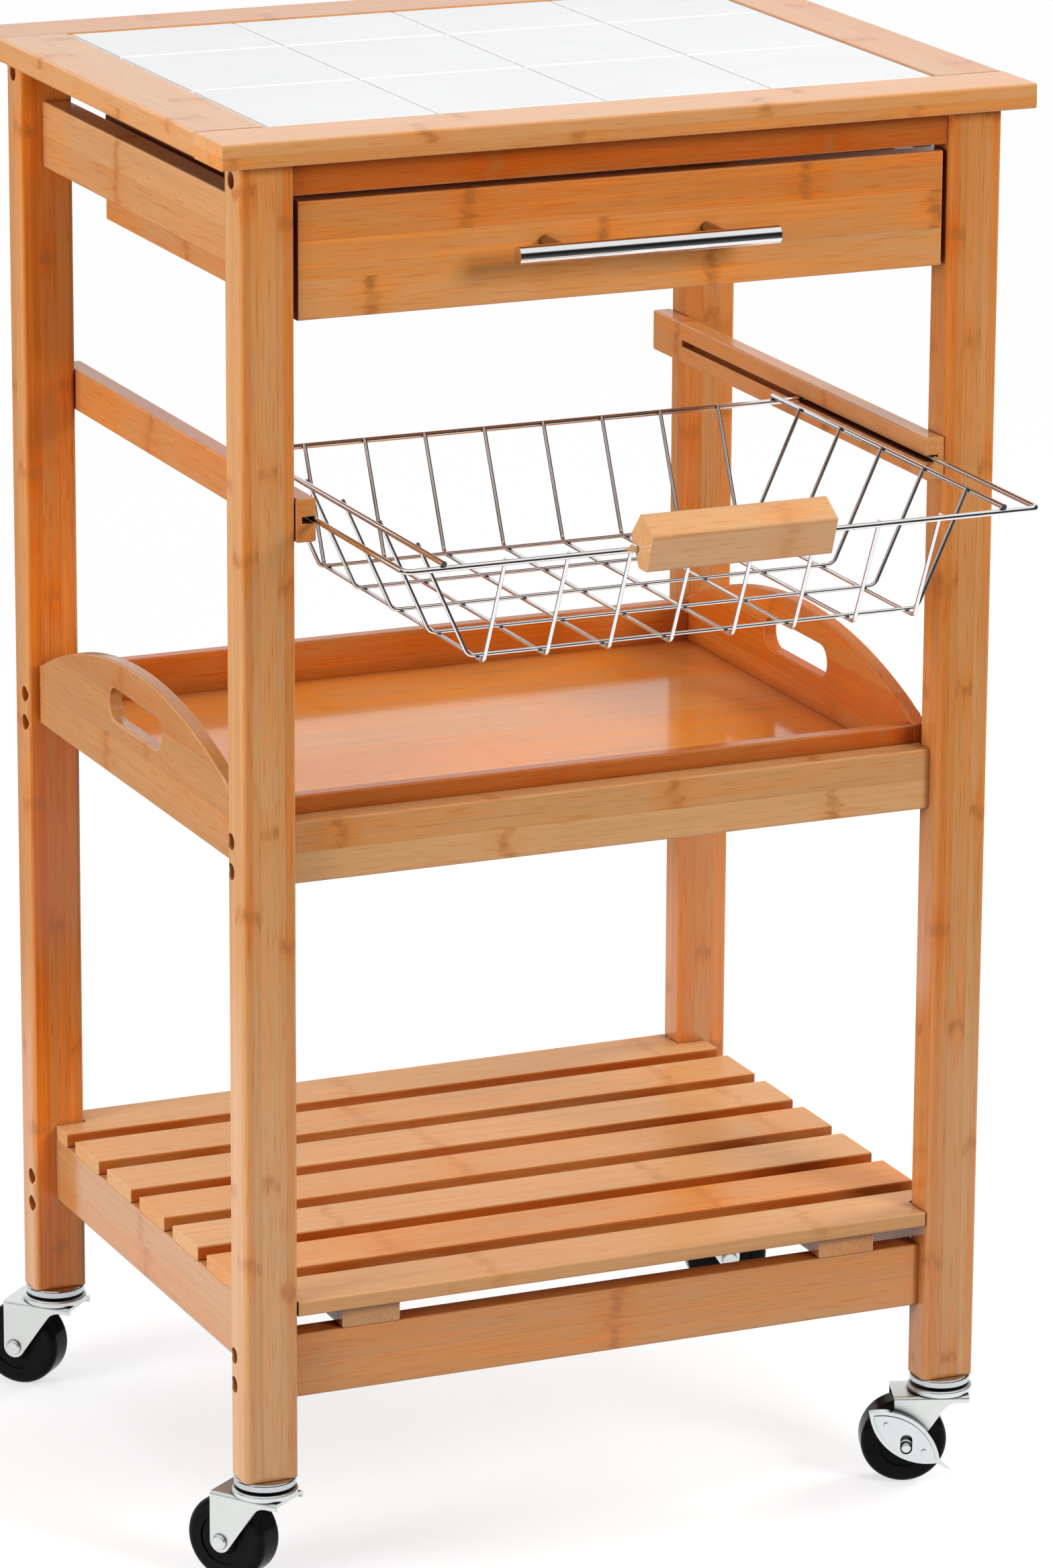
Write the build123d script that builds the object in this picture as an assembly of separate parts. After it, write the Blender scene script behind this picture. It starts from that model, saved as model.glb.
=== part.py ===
from build123d import *
import os
from math import acos, atan2, cos, hypot, sin

# A rolling kitchen cart in bamboo: tiled worktop, drawer, pull-out wire basket, serving tray,
# slatted shelf and four swivel casters. Millimetres, X along the front, Y to the back, Z up.

# Legs and the heights that follow from them
LEG_W = 32.0                # leg along X
LEG_D = 22.0                # leg along Y
LEG_L = 742.5
LEG_ROUND = 3.0
LEGS_SPAN_X = 452.0         # outer face to outer face
LEGS_SPAN_Y = 362.0
CASTER_H = 64.5             # floor to underside of the legs

# Worktop
TOP_W = 480.0
TOP_D = 388.0
TOP_T = 14.0
TOP_ROUND = 1.5
FRONT_BOARD_D = 42.0        # front and back boards, full width
TILE_COLUMNS = 4
TILE_FULL_ROWS = 2
TILE_W = 97.0
TILE_D = 109.0              # the full rows; the back row takes what is left
TILE_JOINT = 2.0
TILE_T = 6.5
TILE_BELOW = 0.4            # tile face below the wood
TILE_ROUND = 0.8
GROUT_BELOW = 0.8           # grout below the tile face
# Rails, bolted through the legs
RAIL_T = 15.0
RAIL_ROUND = 1.2
TOP_RAIL_H = 19.5
TOP_RAIL_INSET = 3.5        # behind the front of the legs
LOW_RAIL_INSET = 8.8
TRAY_RAIL_TOP = 441.0
TRAY_RAIL_H = 35.0
BASE_RAIL_TOP = 145.3
BASE_RAIL_H = 37.0
BOLT_R = 3.0
BOLT_HEAD_R = 4.5
BOLT_HEAD_H = 4.0
BOLT_SINK = 6.0             # head below the face of the leg
BOLT_REACH = 30.0           # into the rail
BOLT_PITCH = 17.0           # between the two bolts of a low rail
BOLT_CLEAR = 0.2
# Side aprons
APRON_INSET = 14.0          # behind the outer face of the legs
APRON_T = 15.0
APRON_H = 38.0
APRON_DROP = 25.5           # below the underside of the worktop
# Drawer
DRAWER_GAP = 3.0            # around the drawer front
DRAWER_INSET = 3.0
DRAWER_FRONT_H = 64.5
DRAWER_FRONT_T = 14.0
DRAWER_SIDE_GAP = 4.0       # drawer side to leg
DRAWER_SIDE_T = 11.0
DRAWER_SIDE_H = 60.0
DRAWER_L = 280.0            # box behind the front
DRAWER_BACK_H = 48.0
DRAWER_BOTTOM_T = 4.0
DRAWER_BOTTOM_UP = 6.0      # lower edge of the sides to the bottom panel
PANEL_SLOT = 4.0            # how far a panel sits in its grooves
PANEL_CLEAR = 0.1
SLIDE_BAR_H = 10.0          # drawer runner
SLIDE_BAR_UP = 32.0         # lower edge of the drawer side to the runner
SLIDE_BAR_IN = 6.0          # how far it enters the drawer side
SLIDE_CLEAR = 0.4
PULL_R = 5.0
PULL_L = 154.0
PULL_PITCH = 96.0
PULL_OUT = 30.0             # drawer front to bar axis
PULL_POST_R = 3.5
PULL_SOCKET = 4.0           # how far a post enters the bar
PULL_CLEAR = 0.05
# Basket and its grooved runners
RUNNER_T = 11.5
RUNNER_H = 24.0
RUNNER_Z = 611.5            # groove centre line
RUNNER_STOP = 40.0          # solid length behind the groove
GROOVE_D = 8.0
WIRE_FIT = 0.35             # rim wire to groove, above and below
RIM_R = 1.6
RIM_BEND = 5.0
RIM_HALF_W = 185.5          # side wires of the rim, from the middle of the basket
BASKET_X = 2.5              # the basket has shifted in its grooves
RIM_DEPTH = 286.0
RIM_FRONT_Y = -306.0        # basket as pulled out
SIDE_WIRE_HALF_W = 164.0
WIRE_R = 1.1
WIRE_BEND = 5.0
WELD = 0.3                  # wires melt into each other by this much
LONG_WIRES = 8
LONG_PITCH = 36.4
CROSS_WIRES = 5
CROSS_PITCH = 52.0
BASKET_DROP = 61.5          # rim to floor
BASKET_SLOPE = 29.0         # walls lean in by this much
GRIP_L = 108.0
GRIP_OFF = 1.5              # off the middle of the basket
GRIP_FRONT = 20.0           # the grip's section, measured from the rim wire in it
GRIP_BACK = 8.4
GRIP_OVER = 20.3
GRIP_UNDER = 10.0
GRIP_RIDGE = 4.2            # ridge in front of the wire
GRIP_FRONT_UP = 10.9        # front edge above the wire
GRIP_BACK_UP = 6.4          # back edge above the wire
GRIP_FOOT_FRONT = 12.6      # underside in front of the wire, from here
GRIP_FOOT_BACK = 2.1        # to here
GRIP_EDGE = 2.0
GRIP_CLEAR = 0.2
# Serving tray on two cleats
TRAY_L = 420.0
TRAY_X = -9.5               # middle of the tray as it stands on its cleats
TRAY_D = 312.0
TRAY_END_T = 8.5
TRAY_SIDE_T = 9.0
TRAY_SIDE_H = 34.5
TRAY_END_H = 69.0           # at the top of the arch
TRAY_FLOOR_T = 5.0
TRAY_TONGUE_T = 3.0         # edge of the floor, in the grooves of the walls
TRAY_FIELD_GAP = 0.3        # floor to walls above the tongue
TRAY_FLOOR_UP = 5.5
HAND_HOLE_L = 84.0
HAND_HOLE_H = 19.0
HAND_HOLE_DOWN = 17.5       # top of the arch to the top of the hole
CLEAT_W = 10.0
CLEAT_H = 10.0
TRAY_REST = 0.3             # tray above its cleats
# Slatted shelf
SLAT_COUNT = 7
SLAT_W = 39.5
SLAT_EDGE = 1.0             # outer slats behind the faces of the legs
SLAT_T = 8.5
SLAT_ROUND = 1.0
SLAT_INSET = 14.0           # slat ends behind the outer face of the legs
SLAT_LEG_GAP = 0.5
BATTEN_W = 34.5
BATTEN_T = 13.2
BATTEN_X = 147.0
SIDE_RAIL_H = 38.0
# Casters
TRAIL = 21.0                # stem axis to axle
WHEEL_R = 25.0
WHEEL_W = 22.0
WHEEL_SHOULDER = 5.0
WHEEL_DISH = 1.2
WHEEL_RIM = 5.0
HUB_R = 8.0
HUB_OUT = 0.8               # hub proud of the wheel's side
AXLE_R = 2.5
AXLE_HEAD_R = 4.5
AXLE_HEAD_H = 2.2
BRAKE_HEAD_R = 3.2          # axle head in the lever's window
RUN_FIT = 0.05              # running fit of every turning piece
FORK_GAP = 0.7              # hub to fork
FORK_T = 2.0
FORK_EYE_R = 6.5
FORK_NECK = 16.0            # fork in front of the stem axis
FORK_THROAT = 4.0           # where its leading edge meets the neck
FORK_CURVE = 10.0
CROWN_GAP = 2.0             # tyre to crown
RACE_R = 18.5
RACE_H = 4.2
RACE_GAP = 1.3              # open slit between the turning race and the cup
CUP_R = 17.5
EDGE_ROUND = 1.4
STEM_R = 4.0
STEM_L = 30.0
PIVOT_R = 3.0
PIVOT_HEAD_R = 5.0
PIVOT_HEAD_H = 1.4
PIVOT_PLAY = 0.3            # rivet below the crown
FIT_CLEAR = 0.1
# How each caster stands: direction of its trail, in degrees from +X
CASTER_TURN = {"front_left": 126.0, "front_right": 160.0, "back_left": 134.0, "back_right": -13.0}
BRAKED = "front_right"
# Brake lever on the axle of one caster
LEVER_L = 52.0
LEVER_W = 23.0
LEVER_T = 1.6
LEVER_OFF = 4.2             # fork to lever plate
LEVER_RISE = 4.5            # middle of the leaf above the axle
LEVER_LEAD = 4.5            # and towards its upper end
LEVER_TILT = 37.0
LEVER_FLANGE = 2.6          # turned edge along the upper side
LEVER_HUB_R = 4.6
LEVER_TAIL = 8.0            # toe tab at the lower end
LEVER_TAIL_W = 5.0
LEVER_WINDOW_H = 12.0       # upright window in front of the axle
LEVER_STUD_R = 1.4
LEVER_STUD_PITCH = 28.0
LEVER_RIM = 2.4             # flat rim around the raised field
LEVER_FIELD = 0.8           # how far the field stands out
LEVER_PLAY = 0.3            # lever to the fork and to the axle's head

# Places worked out from the sizes above
LEG_OUT_X = LEGS_SPAN_X / 2
LEG_OUT_Y = LEGS_SPAN_Y / 2
LEG_IN_X = LEG_OUT_X - LEG_W
LEG_IN_Y = LEG_OUT_Y - LEG_D
LEG_MID_X = LEG_OUT_X - LEG_W / 2
LEG_MID_Y = LEG_OUT_Y - LEG_D / 2
Z_LEG_TOP = CASTER_H + LEG_L
Z_TOP = Z_LEG_TOP + TOP_T
FIELD_W = TILE_COLUMNS * TILE_W + (TILE_COLUMNS + 1) * TILE_JOINT
FIELD_D = TOP_D - 2 * FRONT_BOARD_D
Z_TILE = Z_TOP - TILE_BELOW
TOP_RAIL_OUT_Y = LEG_OUT_Y - TOP_RAIL_INSET
LOW_RAIL_OUT_Y = LEG_OUT_Y - LOW_RAIL_INSET
LOW_RAIL_IN_Y = LOW_RAIL_OUT_Y - RAIL_T
TRAY_RAIL_BOTTOM = TRAY_RAIL_TOP - TRAY_RAIL_H
APRON_OUT_X = LEG_OUT_X - APRON_INSET
APRON_IN_X = APRON_OUT_X - APRON_T
Z_APRON = Z_LEG_TOP - APRON_DROP
Z_DRAWER = Z_LEG_TOP - TOP_RAIL_H - DRAWER_GAP - DRAWER_FRONT_H
DRAWER_FACE_Y = -LEG_OUT_Y + DRAWER_INSET
DRAWER_BOX_Y = DRAWER_FACE_Y + DRAWER_FRONT_T
DRAWER_END_Y = DRAWER_BOX_Y + DRAWER_L
DRAWER_OUT_X = LEG_IN_X - DRAWER_SIDE_GAP
DRAWER_IN_X = DRAWER_OUT_X - DRAWER_SIDE_T
Z_DRAWER_FLOOR = Z_DRAWER + DRAWER_BOTTOM_UP
Z_SLIDE_BAR = Z_DRAWER + SLIDE_BAR_UP
PULL_Y = DRAWER_FACE_Y - PULL_OUT
Z_PULL = Z_DRAWER + DRAWER_FRONT_H / 2
RIM_BACK_Y = RIM_FRONT_Y + RIM_DEPTH
Z_SIDE_WIRE = RUNNER_Z + 2 * RIM_R - WELD
Z_LONG = RUNNER_Z - BASKET_DROP
Z_CROSS = Z_LONG + 2 * WIRE_R - WELD
TRAY_OUT_X = TRAY_L / 2
TRAY_IN_X = TRAY_OUT_X - TRAY_END_T
Z_TRAY = TRAY_RAIL_BOTTOM + CLEAT_H + TRAY_REST
SLAT_END_X = LEG_OUT_X - SLAT_INSET
SLAT_PITCH = (LEGS_SPAN_Y - 2 * SLAT_EDGE - SLAT_W) / (SLAT_COUNT - 1)
Z_SLAT = BASE_RAIL_TOP + BATTEN_T
FORK_IN = WHEEL_W / 2 + HUB_OUT + FORK_GAP
FORK_OUT = FORK_IN + FORK_T
Z_CROWN = 2 * WHEEL_R + CROWN_GAP
Z_RACE = Z_CROWN + FORK_T
Z_CUP = Z_RACE + RACE_H + RACE_GAP

parts = {}


def block(x, y, z):
    """A box between two limits on each axis."""
    size = [b - a for a, b in (x, y, z)]
    middle = [(a + b) / 2 for a, b in (x, y, z)]
    return Pos(*middle) * Box(*size)


def span(side, inner, outer):
    """Two distances from the middle as rising limits on the chosen side."""
    return tuple(sorted((side * inner, side * outer)))


def eased(shape, axis, radius):
    """Rounds the edges that run along one axis."""
    return fillet(shape.edges().filter_by(axis), radius)


def rod(axis, start, end, across, radius):
    """A round bar along X, Y or Z; across holds its two other coordinates in order."""
    length = end - start
    middle = (start + end) / 2
    if axis == "X":
        return Pos(middle, *across) * Rot(0, 90, 0) * Cylinder(radius, length)
    if axis == "Y":
        return Pos(across[0], middle, across[1]) * Rot(90, 0, 0) * Cylinder(radius, length)
    return Pos(*across, middle) * Cylinder(radius, length)


def wire(points, radius, bend):
    """A round wire bent along straight runs."""
    path = FilletPolyline(*points, radius=bend)
    return sweep(Plane(path @ 0, z_dir=path % 0) * Circle(radius), path=path)


# Bolts that hold each front and back rail between the legs
def bolt_places(side_y):
    """(y, z) of the five bolts of one leg."""
    places = [(side_y * (TOP_RAIL_OUT_Y - RAIL_T / 2), Z_LEG_TOP - TOP_RAIL_H / 2)]
    for middle in (TRAY_RAIL_TOP - TRAY_RAIL_H / 2, BASE_RAIL_TOP - BASE_RAIL_H / 2):
        for step in (-0.5, 0.5):
            places.append((side_y * (LOW_RAIL_OUT_Y - RAIL_T / 2), middle + step * BOLT_PITCH))
    return places


def bolt(side_x, place, extra):
    """One bolt with its head sunk in the leg; extra widens it into its own hole."""
    seat = LEG_OUT_X - BOLT_SINK - BOLT_HEAD_H
    shank = rod("X", *span(side_x, LEG_IN_X - BOLT_REACH - extra, seat), place, BOLT_R + extra)
    head_end = LEG_OUT_X + 1 if extra else seat + BOLT_HEAD_H
    return shank + rod("X", *span(side_x, seat, head_end), place, BOLT_HEAD_R + extra)


def caster_places():
    """Leg name to the sides it stands on."""
    names = {}
    for side_y, depth in ((-1, "front"), (1, "back")):
        for side_x, hand in ((-1, "left"), (1, "right")):
            names[depth + "_" + hand] = (side_x, side_y)
    return names


def build_legs():
    for name, (side_x, side_y) in caster_places().items():
        leg = block(span(side_x, LEG_IN_X, LEG_OUT_X), span(side_y, LEG_IN_Y, LEG_OUT_Y),
                    (CASTER_H, Z_LEG_TOP))
        leg = eased(leg, Axis.Z, LEG_ROUND)
        for place in bolt_places(side_y):
            leg -= bolt(side_x, place, BOLT_CLEAR)
        stem = (side_x * LEG_MID_X, side_y * LEG_MID_Y)
        leg -= rod("Z", CASTER_H - 1, CASTER_H + STEM_L + 1, stem, STEM_R + FIT_CLEAR)
        parts["leg_" + name] = leg
    bolts = []
    for side_x in (-1, 1):
        for side_y in (-1, 1):
            bolts += [bolt(side_x, place, 0) for place in bolt_places(side_y)]
    parts["frame_bolts"] = bolts


def cross_rail(side_y, outer_y, top, height):
    """A rail along X between two legs, drilled for its bolts."""
    rail = block((-LEG_IN_X, LEG_IN_X), span(side_y, outer_y - RAIL_T, outer_y), (top - height, top))
    rail = eased(rail, Axis.X, RAIL_ROUND)
    for side_x in (-1, 1):
        for place in bolt_places(side_y):
            if top - height < place[1] < top:
                rail -= bolt(side_x, place, BOLT_CLEAR)
    return rail


def build_rails():
    for side_y, name in ((-1, "front"), (1, "back")):
        parts["top_rail_" + name] = cross_rail(side_y, TOP_RAIL_OUT_Y, Z_LEG_TOP, TOP_RAIL_H)
        parts["tray_rail_" + name] = cross_rail(side_y, LOW_RAIL_OUT_Y, TRAY_RAIL_TOP, TRAY_RAIL_H)
        parts["base_rail_" + name] = cross_rail(side_y, LOW_RAIL_OUT_Y, BASE_RAIL_TOP, BASE_RAIL_H)
    between = (-LEG_IN_Y, LEG_IN_Y)
    bars = []
    for side_x, name in ((-1, "left"), (1, "right")):
        across = span(side_x, APRON_IN_X, APRON_OUT_X)
        apron = block(across, between, (Z_APRON - APRON_H, Z_APRON))
        parts["apron_" + name] = eased(apron, Axis.Y, RAIL_ROUND)
        low = block(across, between, (Z_SLAT - SIDE_RAIL_H, Z_SLAT))
        parts["base_rail_" + name] = eased(low, Axis.Y, RAIL_ROUND)
        bars.append(block(span(side_x, DRAWER_OUT_X - SLIDE_BAR_IN, APRON_IN_X), between,
                          (Z_SLIDE_BAR, Z_SLIDE_BAR + SLIDE_BAR_H)))
    parts["drawer_runners"] = bars


def build_worktop():
    thickness = (Z_LEG_TOP, Z_TOP)
    for side_y, name in ((-1, "front"), (1, "back")):
        board = block((-TOP_W / 2, TOP_W / 2), span(side_y, FIELD_D / 2, TOP_D / 2), thickness)
        parts["worktop_" + name] = eased(board, Axis.X, TOP_ROUND)
    for side_x, name in ((-1, "left"), (1, "right")):
        board = block(span(side_x, FIELD_W / 2, TOP_W / 2), (-FIELD_D / 2, FIELD_D / 2), thickness)
        parts["worktop_" + name] = eased(board, Axis.Y, TOP_ROUND)
    bed = Z_TILE - TILE_T
    field_x = (-FIELD_W / 2, FIELD_W / 2)
    field_y = (-FIELD_D / 2, FIELD_D / 2)
    parts["tile_backing"] = block(field_x, field_y, (Z_LEG_TOP, bed))
    grout = block(field_x, field_y, (bed, Z_TILE - GROUT_BELOW))
    cut_row = FIELD_D - TILE_FULL_ROWS * (TILE_D + TILE_JOINT) - 2 * TILE_JOINT
    tiles = []
    y = -FIELD_D / 2 + TILE_JOINT
    for depth in [TILE_D] * TILE_FULL_ROWS + [cut_row]:
        x = -FIELD_W / 2 + TILE_JOINT
        for column in range(TILE_COLUMNS):
            tile = block((x, x + TILE_W), (y, y + depth), (bed, Z_TILE))
            grout -= tile
            tiles.append(fillet(tile.faces().sort_by(Axis.Z)[-1].edges(), TILE_ROUND))
            x += TILE_W + TILE_JOINT
        y += depth + TILE_JOINT
    parts["tiles"] = tiles
    parts["tile_grout"] = grout


def build_drawer():
    face_x = LEG_IN_X - DRAWER_GAP
    front = block((-face_x, face_x), (DRAWER_FACE_Y, DRAWER_BOX_Y), (Z_DRAWER, Z_DRAWER + DRAWER_FRONT_H))
    front = eased(front, Axis.X, RAIL_ROUND)
    floor_x = DRAWER_IN_X + PANEL_SLOT
    floor_y = (DRAWER_BOX_Y - PANEL_SLOT, DRAWER_END_Y)
    floor_z = (Z_DRAWER_FLOOR, Z_DRAWER_FLOOR + DRAWER_BOTTOM_T)
    parts["drawer_bottom"] = block((-floor_x, floor_x), floor_y, floor_z)
    slot = block((-floor_x - PANEL_CLEAR, floor_x + PANEL_CLEAR), (floor_y[0] - PANEL_CLEAR, floor_y[1] + 1),
                 (floor_z[0] - PANEL_CLEAR, floor_z[1] + PANEL_CLEAR))
    parts["drawer_front"] = front - slot
    for side_x, name in ((-1, "left"), (1, "right")):
        side = block(span(side_x, DRAWER_IN_X, DRAWER_OUT_X), (DRAWER_BOX_Y, DRAWER_END_Y),
                     (Z_DRAWER, Z_DRAWER + DRAWER_SIDE_H))
        groove = block(span(side_x, DRAWER_OUT_X - SLIDE_BAR_IN - SLIDE_CLEAR, DRAWER_OUT_X + 1),
                       (DRAWER_BOX_Y, DRAWER_END_Y + 1),
                       (Z_SLIDE_BAR - SLIDE_CLEAR, Z_SLIDE_BAR + SLIDE_BAR_H + SLIDE_CLEAR))
        parts["drawer_side_" + name] = side - groove - slot
    back_z = floor_z[1] + PANEL_CLEAR
    parts["drawer_back"] = block((-DRAWER_IN_X, DRAWER_IN_X), (DRAWER_END_Y - DRAWER_SIDE_T, DRAWER_END_Y),
                                 (back_z, back_z + DRAWER_BACK_H))
    bar = rod("X", -PULL_L / 2, PULL_L / 2, (PULL_Y, Z_PULL), PULL_R)
    posts = []
    for side_x in (-1, 1):
        place = (side_x * PULL_PITCH / 2, Z_PULL)
        inner = PULL_Y + PULL_R - PULL_SOCKET
        posts.append(rod("Y", inner, DRAWER_FACE_Y, place, PULL_POST_R))
        bar -= rod("Y", inner, PULL_Y + 2 * PULL_R, place, PULL_POST_R + PULL_CLEAR)
    parts["pull_bar"] = bar
    parts["pull_posts"] = posts


def build_basket_runners():
    half_groove = RIM_R + WIRE_FIT
    for side_x, name in ((-1, "left"), (1, "right")):
        runner = block(span(side_x, LEG_IN_X - RUNNER_T, LEG_IN_X), (-LEG_OUT_Y, LEG_OUT_Y),
                       (RUNNER_Z - RUNNER_H / 2, RUNNER_Z + RUNNER_H / 2))
        groove = block(span(side_x, LEG_IN_X - RUNNER_T - 1, LEG_IN_X - RUNNER_T + GROOVE_D),
                       (-LEG_OUT_Y - 1, LEG_OUT_Y - RUNNER_STOP),
                       (RUNNER_Z - half_groove, RUNNER_Z + half_groove))
        parts["basket_runner_" + name] = eased(runner, Axis.Y, RAIL_ROUND) - groove


def wall_wire(rim_a, rim_b, rim_z, floor, bend_to):
    """A U-shaped wire in a plane: down one wall, along the floor and up the other, welded to two rims."""
    top = rim_z + RIM_R
    height = top - floor
    inset = ((RIM_R + WIRE_R - WELD) * hypot(height, BASKET_SLOPE) - RIM_R * BASKET_SLOPE) / height
    start = rim_a + inset
    end = rim_b - inset
    route = ((start, top), (start + BASKET_SLOPE, floor), (end - BASKET_SLOPE, floor), (end, top))
    return wire([bend_to(along, level) for along, level in route], WIRE_R, WIRE_BEND)


def long_wire_places():
    """x of each wire that runs from the front of the basket to its back."""
    return [BASKET_X + (index - (LONG_WIRES - 1) / 2) * LONG_PITCH for index in range(LONG_WIRES)]


def build_basket():
    left = BASKET_X - RIM_HALF_W
    right = BASKET_X + RIM_HALF_W
    corners = ((left, RIM_FRONT_Y), (right, RIM_FRONT_Y), (right, RIM_BACK_Y), (left, RIM_BACK_Y))
    loop = FilletPolyline(*[(x, y, RUNNER_Z) for x, y in corners], radius=RIM_BEND, close=True)
    parts["basket_rim"] = sweep(Plane(loop @ 0, z_dir=loop % 0) * Circle(RIM_R), path=loop)
    parts["basket_side_wires"] = [
        rod("Y", RIM_FRONT_Y - RIM_R, RIM_BACK_Y + RIM_R, (BASKET_X + side * SIDE_WIRE_HALF_W, Z_SIDE_WIRE), RIM_R)
        for side in (-1, 1)]
    long_wires = []
    for x in long_wire_places():
        long_wires.append(wall_wire(RIM_FRONT_Y, RIM_BACK_Y, RUNNER_Z, Z_LONG,
                                    lambda along, level: (x, along, level)))
    parts["basket_long_wires"] = long_wires
    middle_y = (RIM_FRONT_Y + RIM_BACK_Y) / 2
    cross_wires = []
    for index in range(CROSS_WIRES):
        y = middle_y + (index - (CROSS_WIRES - 1) / 2) * CROSS_PITCH
        cross_wires.append(wall_wire(BASKET_X - SIDE_WIRE_HALF_W, BASKET_X + SIDE_WIRE_HALF_W,
                                     Z_SIDE_WIRE, Z_CROSS, lambda along, level: (along, y, level)))
    parts["basket_cross_wires"] = cross_wires
    parts["basket_grip"] = grip_solid()


def grip_solid():
    """The wooden grip: a five-sided bar, slotted onto the front wire and notched for the wires that hang from it."""
    section = Polygon((-GRIP_RIDGE, GRIP_OVER), (-GRIP_FRONT, GRIP_FRONT_UP), (-GRIP_FOOT_FRONT, -GRIP_UNDER),
                      (-GRIP_FOOT_BACK, -GRIP_UNDER), (GRIP_BACK, GRIP_BACK_UP), align=None)
    section = fillet(section.vertices(), GRIP_EDGE)
    grip = extrude(Plane.YZ * section, amount=GRIP_L / 2, both=True)
    hole_r = RIM_R + GRIP_CLEAR
    grip -= rod("X", -GRIP_L, GRIP_L, (0, 0), hole_r)
    grip -= block((-GRIP_L, GRIP_L), (0, GRIP_BACK + 1), (-hole_r, hole_r))
    notch = WIRE_R + GRIP_CLEAR
    middle = BASKET_X + GRIP_OFF
    for x in long_wire_places():
        grip -= block((x - middle - notch, x - middle + notch), (0, GRIP_BACK + 1),
                      (-GRIP_UNDER - 1, hole_r + WIRE_R))
    return Pos(middle, RIM_FRONT_Y, RUNNER_Z) * grip


def build_tray():
    half_d = TRAY_D / 2
    wall_y = half_d - TRAY_SIDE_T
    z_floor = Z_TRAY + TRAY_FLOOR_UP
    z_tongue = z_floor + TRAY_TONGUE_T
    place = Pos(TRAY_X, 0, 0)

    def panel_block(grow, low, high):
        reach_x = TRAY_IN_X + grow
        reach_y = wall_y + grow
        return block((-reach_x, reach_x), (-reach_y, reach_y), (low, high))

    floor = panel_block(PANEL_SLOT, z_floor, z_tongue)
    floor += panel_block(-TRAY_FIELD_GAP, z_floor, z_floor + TRAY_FLOOR_T)
    parts["tray_floor"] = place * floor
    slot = panel_block(PANEL_SLOT + PANEL_CLEAR, z_floor - PANEL_CLEAR, z_tongue + PANEL_CLEAR)
    for side_y, name in ((-1, "front"), (1, "back")):
        side = block((-TRAY_IN_X, TRAY_IN_X), span(side_y, wall_y, half_d), (Z_TRAY, Z_TRAY + TRAY_SIDE_H))
        parts["tray_side_" + name] = place * (eased(side, Axis.X, RAIL_ROUND) - slot)
    shoulder = Z_TRAY + TRAY_SIDE_H
    crest = Z_TRAY + TRAY_END_H
    outline = make_face([
        Line((-half_d, Z_TRAY), (half_d, Z_TRAY)),
        Line((half_d, Z_TRAY), (half_d, shoulder)),
        ThreePointArc((half_d, shoulder), (0, crest), (-half_d, shoulder)),
        Line((-half_d, shoulder), (-half_d, Z_TRAY))])
    hole = Pos(0, crest - HAND_HOLE_DOWN - HAND_HOLE_H / 2) * SlotOverall(HAND_HOLE_L, HAND_HOLE_H)
    panel = Plane.YZ * (outline - hole)
    for side_x, name in ((-1, "left"), (1, "right")):
        low, high = span(side_x, TRAY_IN_X, TRAY_OUT_X)
        end = Pos(low, 0, 0) * extrude(panel, amount=high - low, dir=(1, 0, 0))
        end = fillet(end.edges().filter_by(lambda edge: edge.center().Z > shoulder - 1
                                           and not edge.is_interior), RAIL_ROUND)
        parts["tray_end_" + name] = place * (end - slot)
    parts["tray_cleats"] = [
        block((-LEG_IN_X, LEG_IN_X), span(side_y, LOW_RAIL_IN_Y - CLEAT_W, LOW_RAIL_IN_Y),
              (TRAY_RAIL_BOTTOM, TRAY_RAIL_BOTTOM + CLEAT_H)) for side_y in (-1, 1)]


def build_shelf():
    slats = []
    for index in range(SLAT_COUNT):
        y = (index - (SLAT_COUNT - 1) / 2) * SLAT_PITCH
        slat = block((-SLAT_END_X, SLAT_END_X), (y - SLAT_W / 2, y + SLAT_W / 2), (Z_SLAT, Z_SLAT + SLAT_T))
        slat = eased(slat, Axis.X, SLAT_ROUND)
        for side_x in (-1, 1):
            for side_y in (-1, 1):
                slat -= block(span(side_x, LEG_IN_X - SLAT_LEG_GAP, LEG_OUT_X),
                              span(side_y, LEG_IN_Y - SLAT_LEG_GAP, LEG_OUT_Y), (Z_SLAT - 1, Z_SLAT + SLAT_T + 1))
        slats.append(slat)
    parts["shelf_slats"] = slats
    parts["shelf_battens"] = [
        eased(block((x - BATTEN_W / 2, x + BATTEN_W / 2), (-LOW_RAIL_OUT_Y, LOW_RAIL_OUT_Y),
                    (BASE_RAIL_TOP, Z_SLAT)), Axis.Y, SLAT_ROUND) for x in (-BATTEN_X, BATTEN_X)]


def stem_solid():
    """The fixed half of a caster: plug, upper cup and swivel pin, on the stem axis."""
    cup = Pos(0, 0, (Z_CUP + CASTER_H) / 2) * Cylinder(CUP_R, CASTER_H - Z_CUP)
    cup = fillet(cup.edges(), EDGE_ROUND)
    plug = rod("Z", CASTER_H - EDGE_ROUND, CASTER_H + STEM_L, (0, 0), STEM_R)
    pin = rod("Z", Z_CROWN - PIVOT_PLAY - PIVOT_HEAD_H, Z_CUP + EDGE_ROUND, (0, 0), PIVOT_R)
    rivet = rod("Z", Z_CROWN - PIVOT_PLAY - PIVOT_HEAD_H, Z_CROWN - PIVOT_PLAY, (0, 0), PIVOT_HEAD_R)
    return cup + plug + pin + rivet


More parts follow.
